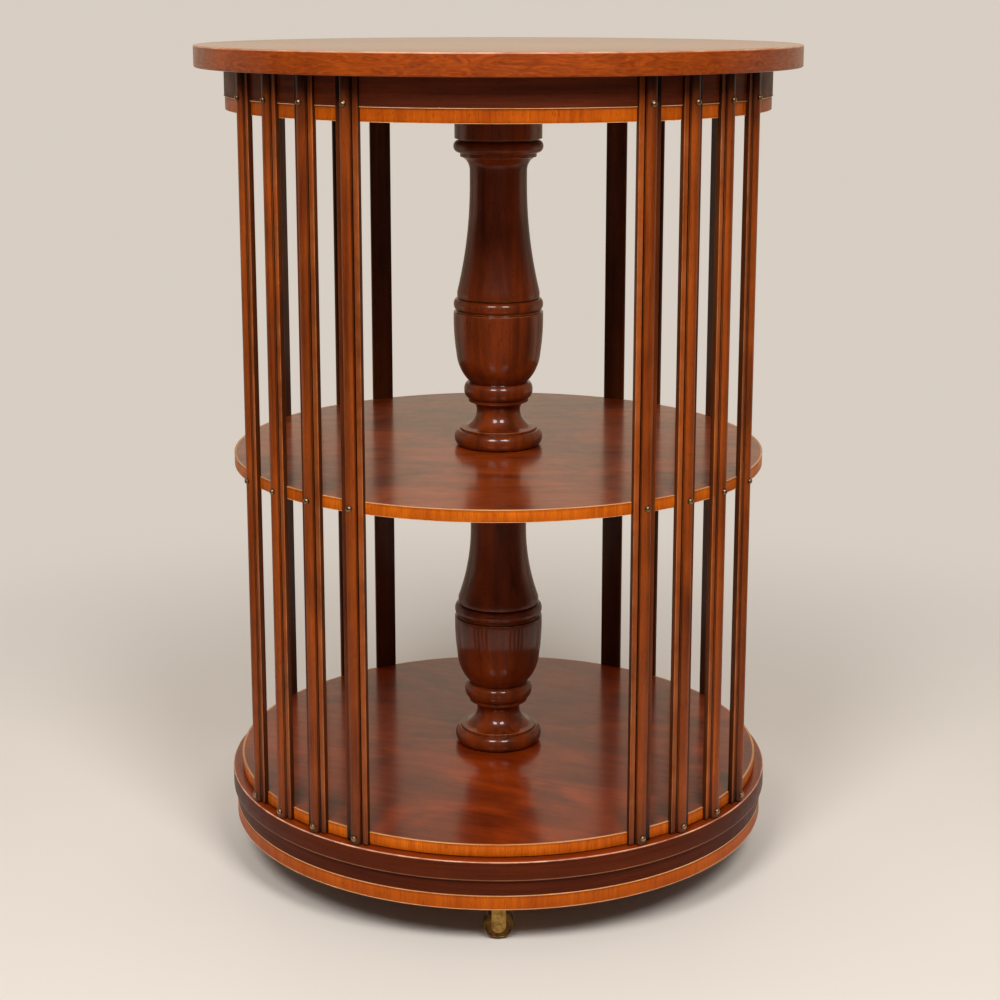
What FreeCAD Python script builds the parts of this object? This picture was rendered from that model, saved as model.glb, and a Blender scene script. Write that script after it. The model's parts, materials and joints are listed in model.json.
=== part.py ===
import FreeCAD, Part
import math
import operator
import os
import Sketcher
from types import SimpleNamespace

# Revolving bookcase: a round two-tier case of shelves, slats and turned balusters
# that turns on a low round plinth, which stands on four swivelling castors.
# Millimetres, +Z up. The origin is on the case's axis of rotation, on the floor.

doc = FreeCAD.newDocument("revolving_bookcase")
sheet = doc.addObject("Spreadsheet::Sheet", "sizes")
parts = []
operations = {
    "+": operator.add,
    "-": operator.sub,
    "*": operator.mul,
    "/": operator.truediv,
}


class Size:
    """A number and the spreadsheet expression that gives it, so each formula is written once."""

    def __init__(self, number, text):
        self.number = number
        self.text = text

    def combined(self, sign, other, swapped=False):
        other = as_size(other)
        left, right = (other, self) if swapped else (self, other)
        number = operations[sign](left.number, right.number)
        return Size(number, f"({left.text} {sign} {right.text})")

    def __add__(self, other):
        return self.combined("+", other)

    def __radd__(self, other):
        return self.combined("+", other, swapped=True)

    def __sub__(self, other):
        return self.combined("-", other)

    def __rsub__(self, other):
        return self.combined("-", other, swapped=True)

    def __mul__(self, other):
        return self.combined("*", other)

    def __rmul__(self, other):
        return self.combined("*", other, swapped=True)

    def __truediv__(self, other):
        return self.combined("/", other)

    def __neg__(self):
        return Size(-self.number, f"(0 - {self.text})")


def as_size(value):
    if isinstance(value, Size):
        return value
    return Size(float(value), repr(float(value)))


def cosine(angle):
    angle = as_size(angle)
    return Size(math.cos(math.radians(angle.number)), f"cos({angle.text} * 1 deg)")


def sine(angle):
    angle = as_size(angle)
    return Size(math.sin(math.radians(angle.number)), f"sin({angle.text} * 1 deg)")


def root(size):
    return Size(math.sqrt(size.number), f"sqrt({size.text})")


def arc_tangent(rise, run):
    """Angle in degrees."""
    number = math.degrees(math.atan2(rise.number, run.number))
    return Size(number, f"(atan({rise.text} / {run.text}) / 1 deg)")


# ---------------------------------------------------------------- driving dimensions

dimensions = {
    # Plinth
    "floor_clearance": 41,
    "fascia_height": 28.5,
    "rim_height": 17.5,
    "rim_margin": 1,
    "fascia_step": 3.5,
    "plinth_wall": 12,
    # Cross bearers under the pivot
    "bearer_width": 52,
    "bearer_height": 35,
    "bearer_clearance": 0.05,
    # Shelves and tiers
    "shelf_radius": 252,
    "shelf_thickness": 11,
    "lower_tier_height": 290,
    "upper_tier_height": 322,
    "running_gap": 1.3,
    # Soffit and frieze
    "soffit_thickness": 12.5,
    "frieze_step": 1,
    "frieze_height": 25.5,
    "frieze_wall": 17,
    # Battens between soffit and table top
    "batten_width": 30,
    "batten_clearance": 0.05,
    # Table top
    "top_overhang": 19.5,
    "top_thickness": 20,
    "arris_width": 2,
    # Slats, in four groups of four
    "slat_width": 23,
    "slat_thickness": 5,
    "bead_width": 11,
    "bead_height": 4.5,
    "slat_step_angle": 10.4,
    "seat_depth": 1,
    "seat_clearance": 0.1,
    # Pivot: plate and pin on the bearers, socket plate under the case
    "pin_radius": 10,
    "pin_height": 40,
    "plate_width": 96,
    "plate_thickness": 4,
    "socket_width": 88,
    "pin_clearance": 0.06,
    "pin_bore_gap": 2,
    # Baluster foot
    "tenon_radius": 18,
    "foot_radius": 36.7,
    "foot_height": 15.5,
    "foot_bulge": 5.5,
    "lip_height": 2.5,
    # Baluster scotia
    "scotia_radius": 34.5,
    "scotia_height": 25,
    "scotia_depth": 10.4,
    "collar_radius": 28.7,
    "collar_height": 3.5,
    # Baluster bulb and bowl
    "bulb_height": 15,
    "bulb_bulge": 4,
    "bowl_foot_radius": 27,
    "bowl_radius": 42.6,
    "bowl_height": 68,
    "bowl_bulge": 5,
    # Baluster ring above the bowl
    "ring_radius": 39,
    "ring_height": 11.5,
    "ring_bulge": 3.6,
    "groove_radius": 37.5,
    "groove_height": 1.5,
    # Baluster vase
    "vase_radius": 39.2,
    "vase_lip_height": 4.4,
    "vase_hollow": 3,
    "neck_radius": 27,
    "neck_height": 12,
    "cove_height": 14.5,
    "cove_hollow": 2.2,
    # Baluster capital
    "fillet_radius": 36,
    "fillet_height": 3.5,
    "capital_radius": 36.6,
    "capital_height": 11.6,
    "capital_bulge": 5.6,
    # Baluster abacus
    "abacus_radius": 41.2,
    "abacus_height": 29,
    # Castor wheels
    "wheel_radius": 14,
    "wheel_width": 12,
    "axle_radius": 2,
    "axle_clearance": 0.08,
    "cheek_gap": 0.4,
    # Castor forks
    "castor_inset": 20,
    "trail_length": 9,
    "cheek_width": 13,
    "cheek_thickness": 2.2,
    "crown_thickness": 4,
    "crown_gap": 0.3,
    # Castor pintles and plates
    "pintle_radius": 3.5,
    "pintle_clearance": 0.08,
    "pintle_end_gap": 0.3,
    "castor_plate_width": 32,
    "castor_plate_thickness": 3.5,
}


def fill_sheet():
    """Write the dimensions to the sheet, and give each as a Size by its name."""
    made = {}
    for row, (alias, number) in enumerate(dimensions.items(), start=1):
        sheet.set(f"A{row}", alias.replace("_", " "))
        sheet.set(f"B{row}", str(number))
        sheet.setAlias(f"B{row}", alias)
        made[alias] = Size(float(number), f"sizes.{alias}")
    return SimpleNamespace(**made)


dim = fill_sheet()

# ---------------------------------------------------------------- levels and shared lines

slat_back = dim.shelf_radius - dim.seat_depth
slat_face = slat_back + dim.slat_thickness
slat_crest = slat_face + dim.bead_height
rim_radius = slat_crest + dim.rim_margin
fascia_radius = rim_radius - dim.fascia_step
plinth_bore = fascia_radius - dim.plinth_wall
frieze_radius = dim.shelf_radius + dim.frieze_step
frieze_bore = frieze_radius - dim.frieze_wall
top_radius = slat_crest + dim.top_overhang
castor_circle = plinth_bore - dim.castor_inset
rim_level = dim.floor_clearance + dim.fascia_height
ledge_level = rim_level + dim.rim_height
case_level = ledge_level + dim.running_gap
lower_floor = case_level + dim.shelf_thickness
mid_level = lower_floor + dim.lower_tier_height
upper_floor = mid_level + dim.shelf_thickness
soffit_level = upper_floor + dim.upper_tier_height
frieze_level = soffit_level + dim.soffit_thickness
top_level = frieze_level + dim.frieze_height
table_level = top_level + dim.top_thickness
pivot_level = case_level - dim.plate_thickness
bearer_top = pivot_level - dim.plate_thickness
bearer_foot = bearer_top - dim.bearer_height
castor_top = bearer_foot - dim.castor_plate_thickness
# The castors trail to one side, and the bearers are turned back by that much,
# so that the wheels stand on the centre lines.
bearer_turn = arc_tangent(dim.trail_length, castor_circle)
group_angles = {"back_right": 45, "back_left": 135, "front_left": 225, "front_right": 315}
castor_angles = {"right": 0, "back": 90, "left": 180, "front": 270}
slats_in_group = 4
# Each curve of a turned member is drawn with this many chords.
curve_chords = 3
fork_end_chords = 6


# ---------------------------------------------------------------- helpers


def bind(item, target, size):
    item.setExpression(target, as_size(size).text)


def keep(item, label):
    item.Label = label
    parts.append(item)
    return item


def place(item, x=0, y=0, z=0, turn=None):
    """Bind an object's Placement: a turn about Z, then a shift."""
    turn = as_size(0 if turn is None else turn)
    item.Placement = FreeCAD.Placement(
        FreeCAD.Vector(as_size(x).number, as_size(y).number, as_size(z).number),
        FreeCAD.Rotation(FreeCAD.Vector(0, 0, 1), turn.number),
    )
    bind(item, "Placement.Base.x", x)
    bind(item, "Placement.Base.y", y)
    bind(item, "Placement.Base.z", z)
    if abs(turn.number) > 0:
        bind(item, "Placement.Rotation.Angle", turn)


def new_body(label):
    return doc.addObject("PartDesign::Body", label)


def new_sketch(body, name, plane, height=None):
    sketch = body.newObject("Sketcher::SketchObject", f"{body.Name}_{name}")
    origin_plane = next(f for f in body.Origin.OriginFeatures if f.Role == plane)
    sketch.AttachmentSupport = [(origin_plane, "")]
    sketch.MapMode = "FlatFace"
    if height is not None:
        bind(sketch, "AttachmentOffset.Base.z", height)
    return sketch


def pin_coordinate(sketch, kind, geometry, end, size):
    """Hold one coordinate of a point at a size, on the axis itself where it is zero."""
    size = as_size(size)
    if abs(size.number) < 1e-9:
        axis = -2 if kind == "DistanceX" else -1
        sketch.addConstraint(Sketcher.Constraint("PointOnObject", geometry, end, axis))
        return
    if size.number > 0:
        row = Sketcher.Constraint(kind, -1, 1, geometry, end, size.number)
    else:
        size = -size
        row = Sketcher.Constraint(kind, geometry, end, -1, 1, size.number)
    index = sketch.addConstraint(row)
    bind(sketch, f"Constraints[{index}]", size)


def draw_outline(sketch, corners):
    """Closed outline. A corner is (x, y), or (x, y, rise) when an arc leads to it.

    The rise is how far the arc stands off its chord: to the left of the direction
    of travel when negative, and to the right when positive.
    """
    flat = [(as_size(c[0]), as_size(c[1])) for c in corners]
    ends = []
    for number, corner in enumerate(corners):
        start, finish = flat[number - 1], flat[number]
        first = FreeCAD.Vector(start[0].number, start[1].number, 0)
        last = FreeCAD.Vector(finish[0].number, finish[1].number, 0)
        if len(corner) == 2:
            index = sketch.addGeometry(Part.LineSegment(first, last), False)
            ends.append((index, 1, 2))
            continue
        arc, reversed_arc = arc_between(first, last, as_size(corner[2]).number)
        index = sketch.addGeometry(arc, False)
        ends.append((index, 2, 1) if reversed_arc else (index, 1, 2))
    for number, corner in enumerate(corners):
        index, _, finish_end = ends[number]
        following, start_end, _ = ends[(number + 1) % len(ends)]
        joint = Sketcher.Constraint("Coincident", index, finish_end, following, start_end)
        sketch.addConstraint(joint)
        pin_coordinate(sketch, "DistanceX", index, finish_end, flat[number][0])
        pin_coordinate(sketch, "DistanceY", index, finish_end, flat[number][1])
        if len(corner) == 3:
            radius = arc_size(flat[number - 1], flat[number], as_size(corner[2]))
            row = sketch.addConstraint(Sketcher.Constraint("Radius", index, radius.number))
            bind(sketch, f"Constraints[{row}]", radius)


def arc_between(first, last, rise):
    """Arc that stands off the line from first to last by rise, and whether it runs backwards."""
    along = last - first
    right = FreeCAD.Vector(along.y, -along.x, 0).normalize()
    height = abs(rise)
    radius = (along.Length**2 / 4 + height * height) / (2 * height)
    outward = right if rise > 0 else -right
    centre = (first + last) / 2 - outward * (radius - height)
    circle = Part.Circle(centre, FreeCAD.Vector(0, 0, 1), radius)
    # Sketch arcs run counterclockwise, which is the way round for an outward rise.
    begin, end = (first, last) if rise > 0 else (last, first)
    start_angle = math.atan2(begin.y - centre.y, begin.x - centre.x)
    end_angle = math.atan2(end.y - centre.y, end.x - centre.x)
    if end_angle < start_angle:
        end_angle += 2 * math.pi
    return Part.ArcOfCircle(circle, start_angle, end_angle), rise < 0


def arc_size(start, finish, rise):
    """Radius of the arc from start to finish that stands off its chord by rise."""
    across = finish[0] - start[0]
    up = finish[1] - start[1]
    square = across * across + up * up
    height = rise if rise.number > 0 else -rise
    return (square / 4 + height * height) / (2 * height)


def draw_circle(sketch, x, y, radius):
    centre = FreeCAD.Vector(as_size(x).number, as_size(y).number, 0)
    circle = Part.Circle(centre, FreeCAD.Vector(0, 0, 1), as_size(radius).number)
    index = sketch.addGeometry(circle, False)
    pin_coordinate(sketch, "DistanceX", index, 3, x)
    pin_coordinate(sketch, "DistanceY", index, 3, y)
    row = sketch.addConstraint(Sketcher.Constraint("Radius", index, as_size(radius).number))
    bind(sketch, f"Constraints[{row}]", radius)


def curve(start, end, bulge, chords, rounded=True):
    """Points after start along a curve that stands off the line to end by bulge (x, y).

    A rounded curve leaves and meets the line square on, like half an ellipse.
    Any other is a shallow arch. The points stop at end, and the middle of the curve
    reaches the whole bulge whatever the number of chords.
    """
    turns = [math.pi * number / chords for number in range(1, chords)]
    crest = max(math.sin(turn) for turn in turns)
    points = []
    for turn in turns:
        share = (1 - math.cos(turn)) / 2 if rounded else turn / math.pi
        arch = math.sin(turn) / crest
        x = start[0] + (end[0] - start[0]) * share + bulge[0] * arch
        y = start[1] + (end[1] - start[1]) * share + bulge[1] * arch
        points.append((x, y))
    return points + [end]


def rectangle(left, right, low, high):
    return [(left, low), (right, low), (right, high), (left, high)]


def revolve(body, name, plane, corners):
    """Turn an outline about the vertical axis of its sketch."""
    sketch = new_sketch(body, name, plane)
    draw_outline(sketch, corners)
    turned = body.newObject("PartDesign::Revolution", f"{sketch.Name}_turned")
    turned.Profile = sketch
    turned.ReferenceAxis = (sketch, ["V_Axis"])
    turned.Angle = 360
    return turned


def pad(body, name, plane, corners, length, height=None, midplane=False, holes=()):
    sketch = new_sketch(body, name, plane, height)
    if corners:
        draw_outline(sketch, corners)
    for hole in holes:
        draw_circle(sketch, *hole)
    made = body.newObject("PartDesign::Pad", f"{sketch.Name}_pad")
    made.Profile = sketch
    made.Midplane = midplane
    bind(made, "Length", length)
    return made


def pocket(body, name, plane, corners, length, height=None, midplane=False, holes=()):
    """Cut downwards from the sketch, and make sure that something was cut."""
    doc.recompute()
    before = body.Shape.Volume
    sketch = new_sketch(body, name, plane, height)
    if corners:
        draw_outline(sketch, corners)
    for hole in holes:
        draw_circle(sketch, *hole)
    made = body.newObject("PartDesign::Pocket", f"{sketch.Name}_pocket")
    made.Profile = sketch
    made.Midplane = midplane
    bind(made, "Length", length)
    doc.recompute()
    if not body.Shape.Volume < before:
        raise RuntimeError(f"{made.Name} cuts nothing")
    return made


def turned_ring(label, bore, radius, low, high):
    body = new_body(label)
    revolve(body, "section", "XZ_Plane", rectangle(bore, radius, low, high))
    return body


def polar(radius, angle):
    return radius * cosine(angle), radius * sine(angle)


# ---------------------------------------------------------------- slats


def slat_angles():
    """Name and angle from +X of each slat: four to a group, numbered left to right from outside."""
    for group, middle in group_angles.items():
        for number in range(slats_in_group):
            steps = number - (slats_in_group - 1) / 2
            yield f"slat_{group}_{number + 1}", middle + dim.slat_step_angle * steps


def make_slat(label, angle):
    """A flat slat with a raised, rounded bead down the middle of its outer face."""
    body = new_body(label)
    half = dim.slat_width / 2
    bead = dim.bead_width / 2
    section = [
        (slat_back, -half),
        (slat_face, -half),
        (slat_face, -bead),
        (slat_face, bead, dim.bead_height),
        (slat_face, half),
        (slat_back, half),
    ]
    pad(body, "section", "XY_Plane", section, top_level - case_level, case_level)
    place(body, turn=angle)
    keep(body, label)


def slat_housings():
    """Cutter for the shallow seats in the edges of the shelves, soffit and frieze."""
    cutters = []
    width = dim.slat_width + 2 * dim.seat_clearance
    for label, angle in slat_angles():
        box = doc.addObject("Part::Box", f"housing_{label}")
        bind(box, "Length", dim.slat_thickness + dim.bead_height)
        bind(box, "Width", width)
        bind(box, "Height", top_level - case_level)
        x, y = polar(slat_back, angle)
        aside = width / 2
        place(box, x + aside * sine(angle), y - aside * cosine(angle), case_level, angle)
        cutters.append(box)
    housings = doc.addObject("Part::MultiFuse", "slat_housings")
    housings.Shapes = cutters
    return housings


# ---------------------------------------------------------------- case


def make_housed_ring(label, bore, radius, low, high, housings):
    """A turned board or ring with the slats' seats cut in its edge."""
    blank = turned_ring(f"{label}_blank", bore, radius, low, high)
    cut = doc.addObject("Part::Cut", label)
    cut.Base = blank
    cut.Tool = housings
    keep(cut, label)


def make_table_top():
    body = new_body("table_top")
    inset = top_radius - dim.arris_width
    section = [
        (0, top_level),
        (inset, top_level),
        (top_radius, top_level + dim.arris_width),
        (top_radius, table_level - dim.arris_width),
        (inset, table_level),
        (0, table_level),
    ]
    revolve(body, "section", "XZ_Plane", section)
    keep(body, "table_top")


def make_baluster(label, floor, ceiling, foot_tenon, head_tenon):
    """Turned baluster between two boards, with a tenon let into each of them."""
    body = new_body(label)
    outline = [(0, floor - foot_tenon), (dim.tenon_radius, floor - foot_tenon), (dim.tenon_radius, floor)]

    def line_to(radius, height):
        outline.append((as_size(radius), as_size(height)))

    def curve_to(radius, height, bulge, rounded=True):
        end = (as_size(radius), as_size(height))
        outline.extend(curve(outline[-1], end, (bulge, 0), curve_chords, rounded))

    # foot: torus, lip, scotia and collar
    line_to(dim.foot_radius, floor)
    level = floor + dim.foot_height
    curve_to(dim.foot_radius, level, dim.foot_bulge)
    level = level + dim.lip_height
    line_to(dim.foot_radius, level)
    line_to(dim.scotia_radius, level)
    level = level + dim.scotia_height
    curve_to(dim.collar_radius, level, -dim.scotia_depth)
    level = level + dim.collar_height
    line_to(dim.collar_radius, level)
    # bulb, bowl and ring
    level = level + dim.bulb_height
    curve_to(dim.collar_radius, level, dim.bulb_bulge)
    line_to(dim.bowl_foot_radius, level)
    level = level + dim.bowl_height
    curve_to(dim.bowl_radius, level, dim.bowl_bulge, rounded=False)
    level = level + dim.groove_height
    line_to(dim.ring_radius, level)
    level = level + dim.ring_height
    curve_to(dim.groove_radius, level, dim.ring_bulge)
    level = level + dim.groove_height
    line_to(dim.vase_radius, level)
    # vase, neck and cove, with the height that is left
    level = level + dim.vase_lip_height
    line_to(dim.vase_radius, level)
    abacus = ceiling - dim.abacus_height
    capital = abacus - dim.groove_height - dim.capital_height
    cove = capital - dim.fillet_height
    neck = cove - dim.cove_height
    curve_to(dim.neck_radius, neck - dim.neck_height, -dim.vase_hollow, rounded=False)
    line_to(dim.neck_radius, neck)
    curve_to(dim.scotia_radius, cove, -dim.cove_hollow, rounded=False)
    # capital: fillet, torus, groove and abacus
    line_to(dim.fillet_radius, cove)
    line_to(dim.fillet_radius, capital)
    curve_to(dim.capital_radius, capital + dim.capital_height, dim.capital_bulge)
    line_to(dim.groove_radius, abacus)
    line_to(dim.abacus_radius, abacus)
    line_to(dim.abacus_radius, ceiling)
    line_to(dim.tenon_radius, ceiling)
    line_to(dim.tenon_radius, ceiling + head_tenon)
    line_to(0, ceiling + head_tenon)
    revolve(body, "section", "XZ_Plane", outline)
    return keep(body, label)


# ---------------------------------------------------------------- rails, plinth and pivot


def make_lapped_pair(labels, reach, width, low, high, turn):
    """Two crossed rails that fit a round bore, each notched over half its depth."""
    middle = (low + high) / 2
    half = width / 2
    corner = root(reach * reach - half * half)
    end_rise = reach - corner
    outline = [
        (-corner, -half, end_rise),
        (corner, -half),
        (corner, half, end_rise),
        (-corner, half),
    ]
    notch = rectangle(-half, half, -width, width)
    for number, label in enumerate(labels):
        body = new_body(label)
        pad(body, "rail", "XY_Plane", outline, high - low, low)
        notch_top = high if number == 0 else middle
        pocket(body, "notch", "XY_Plane", notch, (high - low) / 2, notch_top)
        place(body, turn=turn + 90 * number)
        keep(body, label)


def make_pivot():
    """Steel plate with its pin on the bearers, and the socket plate that turns on it."""
    plate = new_body("pivot_plate")
    half = dim.plate_width / 2
    square = rectangle(-half, half, -half, half)
    pad(plate, "plate", "XY_Plane", square, dim.plate_thickness, bearer_top)
    pin = rectangle(0, dim.pin_radius, bearer_top + dim.plate_thickness / 2, case_level + dim.pin_height)
    revolve(plate, "pin", "XZ_Plane", pin)
    place(plate, turn=bearer_turn)
    keep(plate, "pivot_plate")

    socket = new_body("pivot_socket")
    half = dim.socket_width / 2
    square = rectangle(-half, half, -half, half)
    bore = (0, 0, dim.pin_radius + dim.pin_clearance)
    pad(socket, "plate", "XY_Plane", square, dim.plate_thickness, pivot_level, holes=[bore])
    keep(socket, "pivot_socket")


# ---------------------------------------------------------------- castors


def make_castor(name, angle):
    """Plate, fork and wheel of one castor, drawn with the pintle on the local Z axis."""
    x, y = polar(castor_circle, angle + bearer_turn)
    turn = angle + bearer_turn - 90

    plate = new_body(f"castor_plate_{name}")
    half = dim.castor_plate_width / 2
    square = rectangle(-half, half, -half, half)
    hole = (0, 0, dim.pintle_radius + dim.pintle_clearance)
    pad(plate, "plate", "XY_Plane", square, dim.castor_plate_thickness, castor_top, holes=[hole])
    place(plate, x, y, 0, turn)
    keep(plate, f"castor_plate_{name}")

    fork = new_body(f"castor_fork_{name}")
    cheek = dim.cheek_width / 2
    crown_top = castor_top - dim.crown_gap
    crown_foot = crown_top - dim.crown_thickness
    heel = dim.pintle_radius + dim.crown_thickness
    left = (dim.trail_length - cheek, dim.wheel_radius)
    right = (dim.trail_length + cheek, dim.wheel_radius)
    side = [left] + curve(left, right, (0, -cheek), fork_end_chords)
    side += [
        (right[0], crown_top),
        (-heel, crown_top),
        (-heel, crown_foot),
        (left[0], crown_foot),
    ]
    slot = dim.wheel_width + 2 * dim.cheek_gap
    width = slot + 2 * dim.cheek_thickness
    pad(fork, "side", "XZ_Plane", side, width, midplane=True)
    opening = rectangle(-heel, heel + dim.trail_length + cheek, 0, crown_foot)
    pocket(fork, "wheel_slot", "XZ_Plane", opening, slot, midplane=True)
    axle = (dim.trail_length, dim.wheel_radius, dim.axle_radius)
    axle_length = slot + dim.cheek_thickness
    pad(fork, "axle", "XZ_Plane", None, axle_length, midplane=True, holes=[axle])
    pintle_foot = crown_top - dim.crown_thickness / 2
    pintle_end = bearer_foot - dim.pintle_end_gap
    revolve(fork, "pintle", "XZ_Plane", rectangle(0, dim.pintle_radius, pintle_foot, pintle_end))
    place(fork, x, y, 0, turn)
    keep(fork, f"castor_fork_{name}")

    wheel = new_body(f"castor_wheel_{name}")
    face = dim.wheel_width / 2
    rim = rectangle(dim.axle_radius + dim.axle_clearance, dim.wheel_radius, -face, face)
    revolve(wheel, "section", "XY_Plane", rim)
    hub_x = x + dim.trail_length * cosine(turn)
    hub_y = y + dim.trail_length * sine(turn)
    place(wheel, hub_x, hub_y, dim.wheel_radius, turn)
    keep(wheel, f"castor_wheel_{name}")


# ---------------------------------------------------------------- assembly

fascia = turned_ring("plinth_fascia", plinth_bore, fascia_radius, dim.floor_clearance, rim_level)
keep(fascia, "plinth_fascia")
rim = turned_ring("plinth_rim", plinth_bore, rim_radius, rim_level, ledge_level)
keep(rim, "plinth_rim")
make_lapped_pair(
    ("bearer_through", "bearer_cross"),
    plinth_bore - dim.bearer_clearance,
    dim.bearer_width,
    bearer_foot,
    bearer_top,
    bearer_turn,
)
make_pivot()
for name, angle in castor_angles.items():
    make_castor(name, angle)

housings = slat_housings()
boards = {
    "bottom_shelf": (case_level, lower_floor),
    "mid_shelf": (mid_level, upper_floor),
    "soffit_board": (soffit_level, frieze_level),
}
for label, (low, high) in boards.items():
    make_housed_ring(label, dim.tenon_radius, dim.shelf_radius, low, high, housings)
make_housed_ring("frieze_ring", frieze_bore, frieze_radius, frieze_level, top_level, housings)
half_shelf = dim.shelf_thickness / 2
lower = make_baluster("lower_baluster", lower_floor, mid_level, dim.shelf_thickness, half_shelf)
pin_bore = (0, 0, dim.pin_radius + dim.pin_bore_gap)
bore_depth = dim.pin_height + dim.pin_bore_gap
bore_end = case_level + bore_depth
pocket(lower, "pin_bore", "XY_Plane", None, bore_depth, bore_end, holes=[pin_bore])
make_baluster("upper_baluster", upper_floor, soffit_level, half_shelf, dim.soffit_thickness)
make_lapped_pair(
    ("top_batten_through", "top_batten_cross"),
    frieze_bore - dim.batten_clearance,
    dim.batten_width,
    frieze_level,
    top_level,
    as_size(45),
)
make_table_top()
for label, angle in slat_angles():
    make_slat(label, angle)

doc.recompute()
failed = [o.Name for o in doc.Objects if {"Invalid", "Error"} & set(o.State)]
if failed:
    raise RuntimeError(f"failed objects: {failed}")
for item in parts:
    if item.Shape.isNull() or not item.Shape.isValid():
        raise RuntimeError(f"{item.Label} has no valid shape")

os.makedirs("parts", exist_ok=True)
for item in parts:
    item.Shape.exportStep(f"parts/{item.Label}.step")
    print(f"{item.Label}: {len(item.Shape.Solids)} solid, {item.Shape.Volume / 1000:.1f} cm3")
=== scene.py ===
import bpy
import json
import math
from mathutils import Matrix, Vector


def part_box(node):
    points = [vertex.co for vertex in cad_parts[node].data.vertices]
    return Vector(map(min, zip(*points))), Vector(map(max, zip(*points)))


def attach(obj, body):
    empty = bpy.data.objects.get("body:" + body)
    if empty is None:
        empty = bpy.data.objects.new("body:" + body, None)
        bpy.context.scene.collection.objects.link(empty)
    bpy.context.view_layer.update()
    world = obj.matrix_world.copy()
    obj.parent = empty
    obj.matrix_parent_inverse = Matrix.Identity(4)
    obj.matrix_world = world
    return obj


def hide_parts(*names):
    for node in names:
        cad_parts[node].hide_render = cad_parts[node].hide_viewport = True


# Round revolving bookcase: everything is in metres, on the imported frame.
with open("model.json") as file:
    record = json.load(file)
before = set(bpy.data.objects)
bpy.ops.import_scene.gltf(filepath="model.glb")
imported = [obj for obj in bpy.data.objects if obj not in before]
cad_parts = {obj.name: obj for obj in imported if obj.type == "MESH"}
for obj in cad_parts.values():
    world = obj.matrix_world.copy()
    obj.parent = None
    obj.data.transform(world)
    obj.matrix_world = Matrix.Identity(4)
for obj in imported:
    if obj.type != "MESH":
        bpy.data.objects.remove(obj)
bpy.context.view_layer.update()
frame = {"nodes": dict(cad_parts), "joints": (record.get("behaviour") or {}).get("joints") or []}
scene = bpy.context.scene
mm = 0.001
print("frame loaded:", len(frame["nodes"]), "nodes")


# Levels and angles, read from the frame.

def levelsOf(node):
    low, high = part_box(node)
    return low.z, high.z


def radiusOf(node):
    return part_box(node)[1].x


# How far round the axis a node stands.
def angleOf(node):
    points = [vertex.co for vertex in frame["nodes"][node].data.vertices]
    middle = sum(points, Vector()) / len(points)
    return math.atan2(middle.y, middle.x)


rimFoot, ledge = levelsOf("plinth_rim")
plinthFoot = levelsOf("plinth_fascia")[0]
rimRadius = radiusOf("plinth_rim")
fasciaRadius = radiusOf("plinth_fascia")
shelfRadius = radiusOf("mid_shelf")
soffit = levelsOf("soffit_board")[0]
topFoot, topFace = levelsOf("table_top")
topRadius = radiusOf("table_top")
slatFoot, slatHead = levelsOf("slat_front_left_1")
slatNodes = sorted(name for name in frame["nodes"] if name.startswith("slat_"))
slatAngles = {name: angleOf(name) for name in slatNodes}
castorNames = ["right", "back", "left", "front"]


# Mesh helpers.

onAxis = 1e-7      # a point of a turned outline nearer to its axis than this lies on it
softTurn = 24      # degrees: a corner that turns less than this stays as it is
cornerShare = 0.42     # a rounding takes this share of the shorter side at most


def addObject(name, data):
    made = bpy.data.objects.new(name, data)
    scene.collection.objects.link(made)
    return made


def meshPiece(name, points, faces, wear=None, sharpAngle=34):
    mesh = bpy.data.meshes.new(name)
    mesh.from_pydata([tuple(point) for point in points], [], faces)
    if wear:
        mesh.attributes.new("wear", "FLOAT", "POINT").data.foreach_set("value", wear)
    mesh.shade_smooth()
    mesh.set_sharp_from_angle(angle=math.radians(sharpAngle))
    return addObject(name, mesh)


# Rounds the sharp corners of an outline of (x, y) points, which runs anticlockwise.
# Gives (x, y, mark): up to 1 on a rounded outer corner, which lightens as wear and painted highlight, down
# to -1 in an inner one, which darkens as grime and painted shade, 0 elsewhere.
def roundCorners(outline, radius, steps=3, closed=False):
    count = len(outline)
    made = []
    for index, point in enumerate(outline):
        here = Vector(point[:2])
        if not closed and index in (0, count - 1):
            made.append((here.x, here.y, 0.0))
            continue
        before = Vector(outline[index - 1][:2]) - here
        after = Vector(outline[(index + 1) % count][:2]) - here
        turn = math.pi - before.angle(after)
        if turn < math.radians(softTurn):
            made.append((here.x, here.y, 0.0))
            continue
        outward = before.x * after.y - before.y * after.x < 0
        shorter = min(before.length, after.length)
        reach = min(radius * math.tan(turn / 2), shorter * cornerShare)
        start = here + before.normalized() * reach
        end = here + after.normalized() * reach
        for step in range(steps + 1):
            share = step / steps
            bend = start.lerp(here, share).lerp(here.lerp(end, share), share)
            mark = math.sin(math.pi * share)
            made.append((bend.x, bend.y, mark if outward else -mark))
    return made


# Turns an outline of (radius, height, mark of wear and painted light) about the upright axis.
def lathe(name, outline, steps, closed=False):
    points, faces, wear, rings = [], [], [], []
    for radius, height, mark in outline:
        ring = []
        for step in range(1 if radius < onAxis else steps):
            turn = 2 * math.pi * step / steps
            ring.append(len(points))
            points.append((radius * math.cos(turn), radius * math.sin(turn), height))
            wear.append(mark)
        rings.append(ring)
    pairs = list(zip(rings, rings[1:]))
    if closed:
        pairs.append((rings[-1], rings[0]))
    for low, high in pairs:
        for step in range(steps):
            after = (step + 1) % steps
            corners = [low[step % len(low)], low[after % len(low)]]
            corners += [high[after % len(high)], high[step % len(high)]]
            face = list(dict.fromkeys(corners))
            if len(face) > 2:
                faces.append(face)
    return meshPiece(name, points, faces, wear)
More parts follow.
